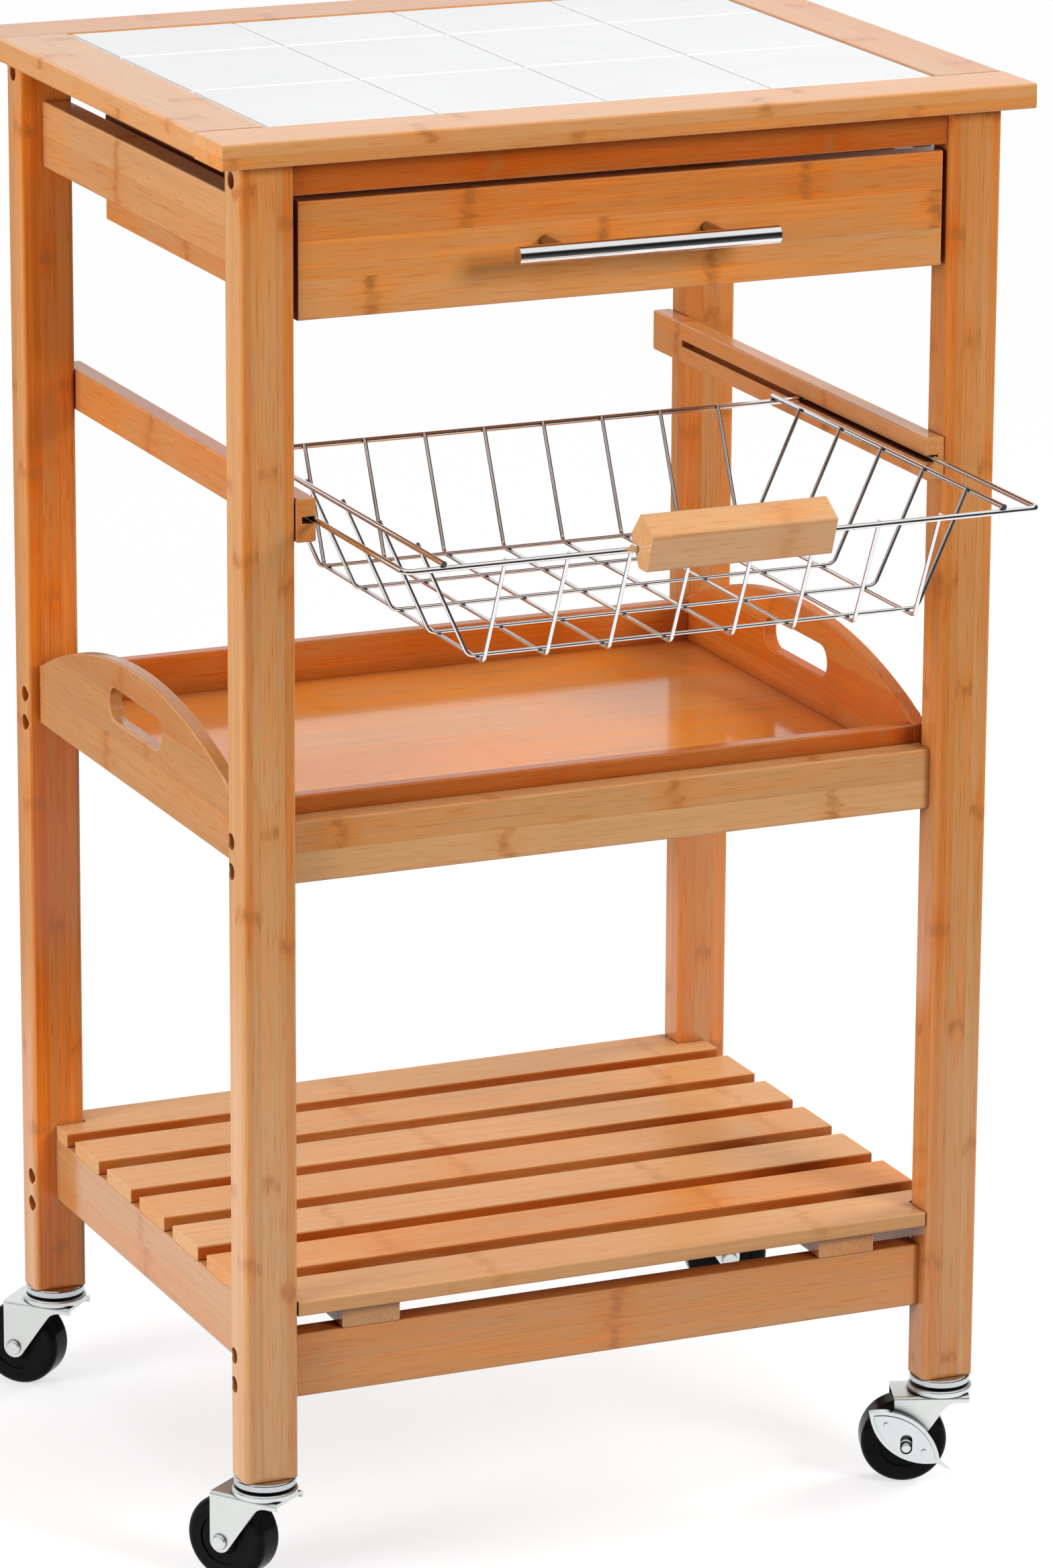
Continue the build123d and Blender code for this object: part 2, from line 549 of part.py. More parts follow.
def fork_solid():
    """The pressed fork with the lower race, trailing along +X."""
    end_x = TRAIL + FORK_EYE_R
    neck_z = Z_CROWN - CROWN_GAP
    rise = neck_z - WHEEL_R
    run = -FORK_THROAT - TRAIL
    touch = atan2(rise, run) + acos(FORK_EYE_R / hypot(rise, run))
    touch_x = TRAIL + FORK_EYE_R * cos(touch)
    touch_z = WHEEL_R + FORK_EYE_R * sin(touch)
    cheek = Polygon((-FORK_NECK, Z_RACE), (-FORK_NECK, neck_z), (-FORK_THROAT, neck_z), (touch_x, touch_z),
                    (TRAIL, WHEEL_R), (end_x, WHEEL_R), (end_x, Z_RACE), align=None)
    throat = cheek.vertices().sort_by_distance((-FORK_THROAT, neck_z))[0]
    cheek = fillet(throat, FORK_CURVE) + Pos(TRAIL, WHEEL_R) * Circle(FORK_EYE_R)
    cheek = extrude(Plane.XZ * cheek, amount=2 * FORK_OUT, dir=(0, 1, 0))
    fork = Pos(0, -FORK_OUT, 0) * cheek
    fork -= block((-FORK_NECK - 1, end_x + 1), (-FORK_IN, FORK_IN), (0, Z_CROWN))
    bends = fork.edges().filter_by(Axis.X).group_by(Axis.Z)[-1]
    fork = fillet(bends, FORK_T)
    race = Pos(0, 0, Z_RACE + RACE_H / 2) * Cylinder(RACE_R, RACE_H)
    fork += fillet(race.edges(), EDGE_ROUND)
    fork -= rod("Z", 0, CASTER_H, (0, 0), PIVOT_R + RUN_FIT)
    return fork - rod("Y", -2 * FORK_OUT, 2 * FORK_OUT, (TRAIL, WHEEL_R), AXLE_R + RUN_FIT)


def axle_solid(braked):
    """A rivet axle with a round head at each end; on the braked caster one end holds the lever's hub."""
    place = (TRAIL, WHEEL_R)
    ends = [(-1, FORK_OUT, AXLE_HEAD_R), (1, FORK_OUT, AXLE_HEAD_R)]
    if braked:
        ends[1] = (1, FORK_OUT + LEVER_OFF + LEVER_PLAY, BRAKE_HEAD_R)
    axle = rod("Y", -ends[0][1], ends[1][1], place, AXLE_R)
    for side, reach, radius in ends:
        head = rod("Y", *span(side, reach, reach + AXLE_HEAD_H), place, radius)
        outer = head.edges().sort_by(Axis.Y)[0 if side < 0 else -1]
        axle += fillet(outer, EDGE_ROUND)
    return axle


def wheel_solid():
    """A glossy wheel with round shoulders, dished sides and a hub."""
    place = (TRAIL, WHEEL_R)
    half = WHEEL_W / 2
    tyre = rod("Y", -half, half, place, WHEEL_R)
    tyre = fillet(tyre.edges().filter_by(GeomType.CIRCLE), WHEEL_SHOULDER)
    for side in (-1, 1):
        tyre -= rod("Y", *span(side, half - WHEEL_DISH, half + 1), place, WHEEL_R - WHEEL_SHOULDER - WHEEL_RIM)
    tyre += rod("Y", -half - HUB_OUT, half + HUB_OUT, place, HUB_R)
    return tyre - rod("Y", -WHEEL_W, WHEEL_W, place, AXLE_R + RUN_FIT)


def lever_solid():
    """A pressed brake lever on the axle: a leaf with a toe tab, a turned upper edge, a raised field and two studs."""
    middle = Pos(LEVER_LEAD, LEVER_RISE)
    leaf = make_face([
        ThreePointArc((-LEVER_L / 2, 0), (0, LEVER_W / 2), (LEVER_L / 2, 0)),
        ThreePointArc((LEVER_L / 2, 0), (0, -LEVER_W / 2), (-LEVER_L / 2, 0))])
    root = LEVER_TAIL - LEVER_L / 2
    tab = Polygon((root, LEVER_TAIL_W / 2), (-LEVER_L / 2 - LEVER_TAIL, 0), (root, -LEVER_TAIL_W / 2), align=None)
    edge = leaf - Pos(0, -LEVER_T) * leaf
    field = offset(leaf, -LEVER_RIM)
    lever = extrude(Plane.XZ * (middle * (leaf + tab)), amount=LEVER_T, dir=(0, 1, 0))
    lever += extrude(Plane.XZ * (middle * field), amount=LEVER_T + LEVER_FIELD, dir=(0, 1, 0))
    lever += extrude(Plane.XZ * (middle * edge), amount=LEVER_FLANGE, dir=(0, -1, 0))
    for side in (-1, 1):
        stud = (LEVER_LEAD + side * LEVER_STUD_PITCH / 2, LEVER_RISE)
        lever += rod("Y", 0, LEVER_T + 2 * LEVER_FIELD, stud, LEVER_STUD_R)
    lever = Rot(0, -LEVER_TILT, 0) * lever
    width = 2 * (BRAKE_HEAD_R + LEVER_PLAY)
    window = Pos(0, (LEVER_WINDOW_H - width) / 2) * Rot(0, 0, 90) * SlotOverall(LEVER_WINDOW_H, width)
    lever -= extrude(Plane.XZ * window, amount=LEVER_W, dir=(0, 1, 0))
    lever += rod("Y", LEVER_PLAY - LEVER_OFF, 0, (0, 0), LEVER_HUB_R)
    lever -= rod("Y", -LEVER_W, LEVER_W, (0, 0), AXLE_R + RUN_FIT)
    return Pos(TRAIL, FORK_OUT + LEVER_OFF, WHEEL_R) * lever


def build_casters():
    stems = []
    for name, (side_x, side_y) in caster_places().items():
        stand = Pos(side_x * LEG_MID_X, side_y * LEG_MID_Y, 0)
        turned = stand * Rot(0, 0, CASTER_TURN[name])
        stems.append(stand * stem_solid())
        parts["caster_fork_" + name] = turned * fork_solid()
        parts["caster_axle_" + name] = turned * axle_solid(name == BRAKED)
        parts["caster_wheel_" + name] = turned * wheel_solid()
    parts["caster_stems"] = stems
    turned = Pos(LEG_MID_X, -LEG_MID_Y, 0) * Rot(0, 0, CASTER_TURN[BRAKED])
    parts["brake_lever"] = turned * lever_solid()


build_legs()
build_rails()
build_worktop()
build_drawer()
build_basket_runners()
build_basket()
build_tray()
build_shelf()
build_casters()

# The origin goes to the middle of the footprint, on the floor
shapes = {name: shape if isinstance(shape, list) else [shape] for name, shape in parts.items()}
boxes = [solid.bounding_box() for group in shapes.values() for solid in group]
centre_x = (min(box.min.X for box in boxes) + max(box.max.X for box in boxes)) / 2
centre_y = (min(box.min.Y for box in boxes) + max(box.max.Y for box in boxes)) / 2
floor_z = min(box.min.Z for box in boxes)
to_origin = Pos(-centre_x, -centre_y, -floor_z)

os.makedirs("parts", exist_ok=True)
for name, group in shapes.items():
    moved = [to_origin * solid for group_solid in group for solid in group_solid.solids()]
    export_step(moved[0] if len(moved) == 1 else Compound(moved), "parts/" + name + ".step")
print(len(shapes), "nodes, footprint centre", centre_x, centre_y, "floor", floor_z)
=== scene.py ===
import math
import bpy
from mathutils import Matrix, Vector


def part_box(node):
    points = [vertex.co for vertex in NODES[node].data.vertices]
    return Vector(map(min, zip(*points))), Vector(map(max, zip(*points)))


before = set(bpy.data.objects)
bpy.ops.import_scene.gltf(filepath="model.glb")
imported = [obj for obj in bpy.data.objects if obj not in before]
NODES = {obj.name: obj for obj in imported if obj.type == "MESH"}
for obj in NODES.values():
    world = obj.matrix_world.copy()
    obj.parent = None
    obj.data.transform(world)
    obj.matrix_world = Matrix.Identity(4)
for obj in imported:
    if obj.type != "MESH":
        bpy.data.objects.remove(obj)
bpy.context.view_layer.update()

scene = bpy.context.scene
scene.view_settings.view_transform = "Standard"


def grey(level):
    return (level, level, level, 1.0)


class Graph:
    """A small helper around one node tree."""

    def __init__(self, tree):
        self.tree = tree

    def add(self, kind, inputs=None, **settings):
        node = self.tree.nodes.new(kind)
        for key, value in settings.items():
            setattr(node, key, value)
        for key, value in (inputs or {}).items():
            self.put(node.inputs[key], value)
        return node

    def put(self, socket, value):
        if isinstance(value, bpy.types.NodeSocket):
            self.tree.links.new(value, socket)
        else:
            socket.default_value = value

    def math(self, operation, *values, clamp=False):
        node = self.add("ShaderNodeMath", operation=operation, use_clamp=clamp)
        for index, value in enumerate(values):
            self.put(node.inputs[index], value)
        return node.outputs[0]

    def plus(self, first, second, clamp=False):
        return self.math("ADD", first, second, clamp=clamp)

    def minus(self, first, second, clamp=False):
        return self.math("SUBTRACT", first, second, clamp=clamp)

    def times(self, first, second):
        return self.math("MULTIPLY", first, second)

    def vector(self, operation, first, second=None, output="Vector"):
        inputs = {0: first} if second is None else {0: first, 1: second}
        return self.add("ShaderNodeVectorMath", inputs, operation=operation).outputs[output]

    def split(self, vector):
        return self.add("ShaderNodeSeparateXYZ", {0: vector}).outputs

    def noise(self, vector, scale, detail=2.0, roughness=0.5):
        node = self.add("ShaderNodeTexNoise", {"Vector": vector, "Scale": scale, "Detail": detail,
                                               "Roughness": roughness})
        return node.outputs["Fac"]

    def grain(self, vector, repeats, detail=2.0, roughness=0.5):
        """Noise that repeats differently along the three axes, in repeats per metre."""
        return self.noise(self.vector("MULTIPLY", vector, repeats), 1.0, detail, roughness)

    def remap(self, value, low, high, to_low=0.0, to_high=1.0):
        node = self.add("ShaderNodeMapRange", {"Value": value, "From Min": low, "From Max": high,
                                               "To Min": to_low, "To Max": to_high})
        node.interpolation_type = "SMOOTHSTEP"
        return node.outputs[0]

    def mix(self, factor, first, second):
        node = self.add("ShaderNodeMix", data_type="RGBA", blend_type="MIX")
        self.put(node.inputs["Factor"], factor)
        self.put(node.inputs[6], first)
        self.put(node.inputs[7], second)
        return node.outputs[2]

    def ramp(self, value, stops):
        node = self.add("ShaderNodeValToRGB", {"Fac": value})
        points = node.color_ramp.elements
        while len(points) < len(stops):
            points.new(0.5)
        for point, (position, colour) in zip(points, stops):
            point.position = position
            point.color = (*colour, 1.0)
        return node.outputs["Color"]

    def rounding(self, radius, samples):
        """The normal rounded at the edges, and how little it agrees with the flat one."""
        rounded = self.add("ShaderNodeBevel", {"Radius": radius}, samples=samples).outputs[0]
        flat = self.add("ShaderNodeNewGeometry").outputs["Normal"]
        return rounded, self.vector("DOT_PRODUCT", rounded, flat, "Value")

    def openness(self, distance, samples):
        return self.add("ShaderNodeAmbientOcclusion", {"Distance": distance}, samples=samples).outputs["AO"]


def material(name):
    """A new material with its graph and its main shader."""
    made = bpy.data.materials.new(name)
    made.use_nodes = True
    graph = Graph(made.node_tree)
    shader = made.node_tree.nodes["Principled BSDF"]
    return made, graph, shader


def dress(node, made):
    data = NODES[node].data
    data.materials.clear()
    data.materials.append(made)


# Bamboo: strips glued side by side, each paler or more orange than its neighbour, with fine fibres along
# the grain, reddish nodes across it and open pores where the boards end. Palettes run from dark to light
BEIGE = [(0.28, (0.40, 0.185, 0.066)), (0.54, (0.53, 0.270, 0.110)), (0.82, (0.63, 0.350, 0.160)),
         (1.0, (0.74, 0.440, 0.220))]
ORANGE = [(0.28, (0.40, 0.122, 0.022)), (0.54, (0.535, 0.197, 0.048)), (0.82, (0.65, 0.275, 0.080)),
          (1.0, (0.76, 0.360, 0.130))]
AMBER = [(0.28, (0.38, 0.068, 0.005)), (0.54, (0.55, 0.116, 0.008)), (0.82, (0.88, 0.285, 0.034))]
KNOT = (0.35, 0.118, 0.026, 1.0)
SEAM = (0.27, 0.092, 0.026, 1.0)
PORE = (0.22, 0.085, 0.026, 1.0)
# Pale edge colour: wear plus a painted highlight on the rounded edges
PALE_EDGE_WEAR_AND_HIGHLIGHT = (0.80, 0.50, 0.25, 1.0)
# Colour of the painted shade in corners and gaps between boards
PAINTED_CREVICE_SHADE = (0.240, 0.034, 0.003, 1.0)

# Repeats per metre along the grain, across the strips and into the depth
FIBRE_GRAIN = (9.0, 1300.0, 1300.0)
STREAK_GRAIN = (3.0, 260.0, 260.0)
CLOUD_GRAIN = (9.0, 60.0, 60.0)
DASH_GRAIN = (42.0, 900.0, 900.0)
WAVER_GRAIN = (45.0, 190.0, 190.0)
PATCH_GRAIN = (90.0, 260.0, 260.0)
PORE_GRAIN = (0.0, 1600.0, 1600.0)

# From where to where a noise counts as a mark
DASH_CUT = (0.56, 0.72)
PATCH_CUT = (0.40, 0.60)
PORE_CUT = (0.52, 0.66)

# Lengths in metres; a band fades from its first distance to its second
NODE_GAP = 0.20
NODE_WAVER = 0.016
KNOT_BAND = (0.0060, 0.0010)
HALO_BAND = (0.022, 0.003)
RIM_BAND = (0.0072, 0.0062)
SEAM_BAND = (0.0005, 0.0001)
INNER_EDGE = 0.004
ARRIS_RADIUS = 0.0013
RELIEF_DEPTH = 0.0004

# How far each layer lightens the wood (tone) and reddens it (warmth)
MEAN = 0.5
TONE_START = 0.10
TONE_FIBRE = 0.36
TONE_STREAK = 0.36
TONE_CLOUD = 0.16
TONE_STRIP = 0.12
# Painted shade on the faces between slats
GAP_SHADE_TONE = -0.32
WARM_CLOUD = 1.7
WARM_STREAK = 1.4
WARM_FIBRE = 0.8
WARM_FLECK = 0.55
WARM_HALO = 0.35
FLECK_MEAN = 0.15
NODE_SHUFFLE = 9.0

# How far a mark's own colour covers the wood
FLECK_COVER = 0.14
KNOT_COVER = 0.66
KNOT_LEAST = 0.45
SEAM_COVER = 0.15
PORE_COVER = 0.6
# How far the pale edge colour, wear plus a painted highlight, covers the wood
PALE_EDGE_COVER = 0.42
# How far the painted shade covers the wood in corners
CREVICE_SHADE_COVER = 0.85

# Lacquer and relief; a bend or an opening fades from its first value to its second
LACQUER_ROUGHNESS = 0.34
LACQUER_SPREAD = 0.20
RELIEF_FIBRE = 0.6
RELIEF_KNOT = 0.5
RELIEF_SEAM = 0.8
RELIEF_STRENGTH = 0.08
PALE_EDGE_BEND = (0.995, 0.90)
CREVICE_SHADE_OPENING = (0.72, 0.15)
END_FACING = (0.6, 0.9)


def bamboo_group():
    tree = bpy.data.node_groups.new("bamboo", "ShaderNodeTree")
    faces = tree.interface
    faces.new_socket("Vector", in_out="INPUT", socket_type="NodeSocketVector")
    for name in ("Strip", "Layer", "Width", "Seed", "Warm", "Drift", "Rim", "SideLight", "Tone", "End", "Knots",
                 "Spread"):
        faces.new_socket(name, in_out="INPUT", socket_type="NodeSocketFloat")
    faces.new_socket("Color", in_out="OUTPUT", socket_type="NodeSocketColor")
    faces.new_socket("Roughness", in_out="OUTPUT", socket_type="NodeSocketFloat")
    faces.new_socket("Height", in_out="OUTPUT", socket_type="NodeSocketFloat")
    g = Graph(tree)
    given = g.add("NodeGroupInput").outputs
    place = given["Vector"]
    along, across, deep = g.split(place)
    # Every strip of every layer gets three dice and its own piece of the noises
    column = g.math("DIVIDE", across, given["Strip"])
    strip = g.math("FLOOR", column)
    layer = g.math("FLOOR", g.math("DIVIDE", deep, given["Layer"]))
    number = g.add("ShaderNodeCombineXYZ", {0: strip, 1: layer, 2: given["Seed"]}).outputs[0]
    chance = g.add("ShaderNodeTexWhiteNoise", {"Vector": number}, noise_dimensions="3D").outputs["Color"]
    node_dice, tone_dice, warm_dice = g.add("ShaderNodeSeparateColor", {0: chance}).outputs
    shifted = g.vector("ADD", place, chance)
    fibre = g.grain(shifted, FIBRE_GRAIN, 2.0, 0.65)
    streak = g.grain(shifted, STREAK_GRAIN, 3.0, 0.6)
    cloud = g.grain(shifted, CLOUD_GRAIN)
    # Short fibre bundles, the small darker dashes along the grain
    fleck = g.remap(g.grain(shifted, DASH_GRAIN, 1.0), *DASH_CUT)
    # Nodes of the cane, one every NODE_GAP in each strip, with a warmer halo
    step = g.plus(g.math("DIVIDE", along, NODE_GAP), g.times(node_dice, NODE_SHUFFLE))
    offset = g.times(g.minus(g.math("FRACT", step), 0.5), NODE_GAP)
    waver = g.minus(g.grain(shifted, WAVER_GRAIN), MEAN)
    away = g.math("ABSOLUTE", g.plus(offset, g.times(waver, NODE_WAVER)))
    patch = g.remap(g.grain(shifted, PATCH_GRAIN), *PATCH_CUT)
    knot = g.times(g.remap(away, *KNOT_BAND), g.plus(g.times(patch, 1.0 - KNOT_LEAST), KNOT_LEAST))
    knot = g.times(knot, given["Knots"])
    halo = g.remap(away, *HALO_BAND)
    # Tone
    tone = g.plus(g.times(fibre, TONE_FIBRE), g.times(streak, TONE_STREAK))
    tone = g.plus(tone, g.times(cloud, TONE_CLOUD))
    tone = g.plus(tone, g.times(g.minus(tone_dice, MEAN), TONE_STRIP))
    tone = g.plus(tone, g.plus(given["Tone"], TONE_START))
    # Warmth
    rim = g.math("MINIMUM", across, g.minus(given["Width"], across))
    warm = g.plus(given["Warm"], g.times(given["Drift"], along))
    warm = g.plus(warm, g.times(given["Rim"], g.remap(rim, *RIM_BAND)))
    # SideLight: painted sheen and painted shade on the side faces
    warm = g.plus(warm, given["SideLight"])
    for part, mean, weight in ((warm_dice, MEAN, given["Spread"]), (cloud, MEAN, WARM_CLOUD),
                               (streak, MEAN, WARM_STREAK), (fibre, MEAN, WARM_FIBRE),
                               (fleck, FLECK_MEAN, WARM_FLECK)):
        warm = g.plus(warm, g.times(g.minus(part, mean), weight))
    warm = g.plus(warm, g.times(halo, WARM_HALO))
    # Wood colour, then the marks on it
    orange_share = g.math("MINIMUM", warm, 1.0, clamp=True)
    amber_share = g.minus(warm, 1.0, clamp=True)
    colour = g.mix(orange_share, g.ramp(tone, BEIGE), g.ramp(tone, ORANGE))
    colour = g.mix(amber_share, colour, g.ramp(tone, AMBER))
    colour = g.mix(g.times(fleck, FLECK_COVER), colour, SEAM)
    colour = g.mix(g.times(knot, KNOT_COVER), colour, KNOT)
    edge = g.math("ABSOLUTE", g.minus(g.math("FRACT", column), 0.5))
    seam = g.remap(g.times(g.minus(0.5, edge), given["Strip"]), *SEAM_BAND)
    colour = g.mix(g.times(seam, SEAM_COVER), colour, SEAM)
    pores = g.remap(g.grain(place, PORE_GRAIN, 1.0), *PORE_CUT)
    colour = g.mix(g.times(g.times(pores, given["End"]), PORE_COVER), colour, PORE)
    out = g.add("NodeGroupOutput").inputs
    g.put(out["Color"], colour)
    g.put(out["Roughness"], g.plus(g.times(fibre, LACQUER_SPREAD), LACQUER_ROUGHNESS))
    relief = g.plus(g.times(fibre, RELIEF_FIBRE), g.times(knot, RELIEF_KNOT))
    g.put(out["Height"], g.minus(relief, g.times(seam, RELIEF_SEAM)))
    return tree


BAMBOO = bamboo_group()
# Grain direction: which axis runs along the grain, across the strips and into the depth
TURNS = {"X": (0, 1, 2), "Y": (1, 0, 2), "Z": (2, 0, 1), "XZ": (0, 2, 1)}


def bamboo(node, seed, grain, strip, layer, warm, drift=0.0, rim=0.0, side_sheen=0.0, gap_shade=0.0, tone=0.0,
           knots=1.0, spread=0.8, gloss=0.16, coat=0.9, shade_reach=0.022):
    """Lacquered bamboo on one board; strips are counted from the board's lowest corner."""
    made, g, shader = material("bamboo_" + node)
    low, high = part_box(node)
    order = TURNS[grain]
    width = high[order[1]] - low[order[1]]
    where = g.add("ShaderNodeTexCoord").outputs
    axes = g.split(g.vector("SUBTRACT", where["Object"], tuple(low)))
    vector = g.add("ShaderNodeCombineXYZ", {slot: axes[axis] for slot, axis in enumerate(order)}).outputs[0]
    normal = g.split(where["Normal"])
    facing = [g.math("ABSOLUTE", normal[axis]) for axis in order]
    # Painted shade: faces between the slats of one node are made warmer and darker than its outer faces; a
    # painted sheen makes the flanks of some boards paler
    across = axes[order[1]]
    inside = g.math("GREATER_THAN", g.math("MINIMUM", across, g.minus(width, across)), INNER_EDGE)
    side_light = g.plus(g.times(inside, gap_shade), side_sheen)
    deep = g.times(g.times(facing[1], inside), GAP_SHADE_TONE * gap_shade)
    wood = g.add("ShaderNodeGroup", node_tree=BAMBOO)
    values = {"Vector": vector, "Strip": strip, "Layer": layer, "Width": width, "Seed": seed,
              "Warm": warm, "Drift": drift, "Rim": g.times(facing[2], rim),
              "SideLight": g.times(facing[1], side_light), "Tone": g.plus(deep, tone),
              "End": g.remap(facing[0], *END_FACING), "Knots": knots, "Spread": spread}
    for key, value in values.items():
        g.put(wood.inputs[key], value)
    # Edges paler, partly wear and partly a painted highlight; painted shade in the corners between boards
    rounded, bend = g.rounding(ARRIS_RADIUS, 4)
    worn_and_highlit = g.mix(g.remap(bend, *PALE_EDGE_BEND, 0.0, PALE_EDGE_COVER), wood.outputs["Color"], PALE_EDGE_WEAR_AND_HIGHLIGHT)
    # Painted shade: the wood turns dark amber where other surfaces come close
    shade = g.remap(g.openness(shade_reach, 4), *CREVICE_SHADE_OPENING, 0.0, CREVICE_SHADE_COVER)
    g.put(shader.inputs["Base Color"], g.mix(shade, worn_and_highlit, PAINTED_CREVICE_SHADE))
    g.put(shader.inputs["Roughness"], wood.outputs["Roughness"])
    bump = g.add("ShaderNodeBump", {"Height": wood.outputs["Height"], "Strength": RELIEF_STRENGTH,
                                    "Distance": RELIEF_DEPTH, "Normal": rounded})
    g.put(shader.inputs["Normal"], bump.outputs[0])
    shader.inputs["Specular IOR Level"].default_value = 0.0
    shader.inputs["Coat Weight"].default_value = coat
    shader.inputs["Coat Roughness"].default_value = gloss
    return made


# Grain, strip width, layer and warmth (0 beige, 1 orange, 2 amber) of every wooden board; lengths in metres.
# A layer of WHOLE is thicker than any board
WHOLE = 0.05
BOARDS = {
    "drawer_front": ("XZ", 0.0215, WHOLE, 0.85),
    "drawer_back": ("XZ", 0.024, WHOLE, 0.7),
    "drawer_bottom": ("X", 0.05, WHOLE, 0.5),
    "drawer_runners": ("Y", 0.1, WHOLE, 0.7),
    "tray_floor": ("X", 0.075, WHOLE, 1.75),
    "tray_cleats": ("X", 0.1, WHOLE, 0.7),
    "shelf_slats": ("X", 0.05342, WHOLE, 0.32),
    "shelf_battens": ("Y", 0.08, WHOLE, 0.5),
    "basket_grip": ("X", 0.013, WHOLE, -0.12),
    "tile_backing": ("X", 0.05, WHOLE, 0.7),
    "leg_front_left": ("Z", 0.0107, 0.011, -0.42),
    "leg_front_right": ("Z", 0.0107, 0.011, 0.25),
    "leg_back_left": ("Z", 0.0107, 0.011, 1.9),
    "leg_back_right": ("Z", 0.0107, 0.011, 0.8),
    "tray_side_front": ("XZ", 0.0345, WHOLE, 1.5),
    "tray_side_back": ("XZ", 0.0345, WHOLE, 1.9),
    "tray_end_left": ("Y", 0.05, 0.023, 0.55),
    "tray_end_right": ("Y", 0.05, 0.023, 1.75),
}
for place in ("front", "back"):
    BOARDS["worktop_" + place] = ("X", 0.021, 0.007, 0.9)
    # The top rails' warmth is partly the wood's own and partly painted shade under the worktop
    BOARDS["top_rail_" + place] = ("XZ", 0.0195, WHOLE, 1.5)
    BOARDS["tray_rail_" + place] = ("XZ", 0.0175, WHOLE, 0.0)
    BOARDS["base_rail_" + place] = ("XZ", 0.0185, WHOLE, 1.0)
for hand in ("left", "right"):
    BOARDS["worktop_" + hand] = ("Y", 0.0205, 0.007, 0.6)
    BOARDS["apron_" + hand] = ("Y", 0.05, 0.019, 0.05)
    BOARDS["base_rail_" + hand] = ("Y", 0.05, 0.019, 0.05)
    BOARDS["basket_runner_" + hand] = ("Y", 0.05, 0.024, 0.7)
    BOARDS["drawer_side_" + hand] = ("Y", 0.05, 0.02, 0.8)
# What sets single boards apart: colour drifting along the grain, orange edge strips, a painted sheen on the
# flanks, painted shade on the faces between slats, a brighter or darker tone, fewer or stronger knots, strips
# that differ more, another lacquer, a wider reach of the painted corner shade
SPECIAL = {
    "leg_front_left": {"drift": 1.3, "rim": 0.7, "side_sheen": -0.75, "tone": 0.02},
    "leg_front_right": {"drift": 0.7, "rim": 0.4},
    "leg_back_left": {"side_sheen": -1.6},
    "worktop_front": {"tone": 0.17},
    "worktop_left": {"tone": 0.13},
    "worktop_right": {"tone": 0.07},
    # top_rail_front: the lower tone and wider crevice shade paint the worktop's shadow on it
    "top_rail_front": {"tone": -0.16, "shade_reach": 0.045},
    "drawer_front": {"tone": 0.06, "knots": 1.3, "spread": 1.1},
    "drawer_side_left": {"tone": -0.06},
    "basket_runner_right": {"tone": 0.14},
    "basket_grip": {"tone": 0.12, "knots": 0.4},
    "tray_side_front": {"tone": -0.22},
    "tray_side_back": {"tone": -0.09},
    "tray_end_left": {"tone": -0.16},
    "tray_end_right": {"tone": -0.04, "coat": 0.4},
    "tray_floor": {"tone": 0.36, "knots": 0.1, "gloss": 0.11},
    "tray_rail_front": {"tone": 0.04},
    "base_rail_left": {"tone": -0.16},
    "shelf_slats": {"tone": 0.13, "drift": 0.2, "gap_shade": 1.5, "knots": 0.5, "spread": 1.9, "gloss": 0.26,
                    "coat": 0.4, "shade_reach": 0.032},
}
SEED_STEP = 3.7
for count, (node, values) in enumerate(sorted(BOARDS.items())):
    dress(node, bamboo(node, count * SEED_STEP, *values, **SPECIAL.get(node, {})))

# Metals
METAL_NOISE = 70.0
METAL_DULL = 0.93
METAL_SHADE_REACH = 0.005
METAL_SHADE_OPENING = (0.80, 0.35)
METAL_SHADE_COVER = 0.95
MIDDLE = (0.3, 0.7)
METAL_GAP_SHADE = grey(0.01)


def metal(name, colour, roughness, spread):
    """Bright metal with a faint uneven polish, with painted shade where two pieces nearly meet."""
    made, g, shader = material(name)
    where = g.add("ShaderNodeTexCoord").outputs["Object"]
    uneven = g.noise(where, METAL_NOISE)
    g.put(shader.inputs["Roughness"], g.remap(uneven, *MIDDLE, roughness - spread, roughness + spread))
    dull = tuple(part * METAL_DULL for part in colour)
    plain = g.mix(uneven, (*dull, 1.0), (*colour, 1.0))
    # Painted shade in the narrow gaps between pieces
    shade = g.remap(g.openness(METAL_SHADE_REACH, 8), *METAL_SHADE_OPENING, 0.0, METAL_SHADE_COVER)
    g.put(shader.inputs["Base Color"], g.mix(shade, plain, METAL_GAP_SHADE))
    shader.inputs["Metallic"].default_value = 1.0
    return made


CHROME = metal("chrome", (0.80, 0.80, 0.81), 0.08, 0.03)
ZINC = metal("zinc", (0.80, 0.83, 0.81), 0.40, 0.04)
for node in ("pull_bar", "basket_rim", "basket_side_wires", "basket_long_wires", "basket_cross_wires"):
    dress(node, CHROME)
dress("caster_stems", metal("cup_steel", (0.56, 0.58, 0.60), 0.06, 0.02))
# The posts are chrome; their dark colour is painted shade, copying their reflection of the shaded drawer
# front
dress("pull_posts", metal("post_chrome_painted_dark", (0.36, 0.31, 0.29), 0.12, 0.03))
dress("brake_lever", metal("pressed_steel", (0.70, 0.74, 0.75), 0.22, 0.04))
dress("frame_bolts", metal("bolt_steel", (0.15, 0.12, 0.10), 0.42, 0.06))

# Glazed tiles, with a painted highlight along their rounded edges
TILE_DARK = (0.63, 0.635, 0.64, 1.0)
TILE_PALE = (0.69, 0.695, 0.70, 1.0)
TILE_EDGE_HIGHLIGHT = grey(0.82)
TILE_ROUNDING = 0.0022
TILE_HIGHLIGHT_BEND = (0.998, 0.95)
TILE_ROUGHNESS = (0.10, 0.18)
TILE_CLOUD = 14.0
TILE_WAVE = 45.0


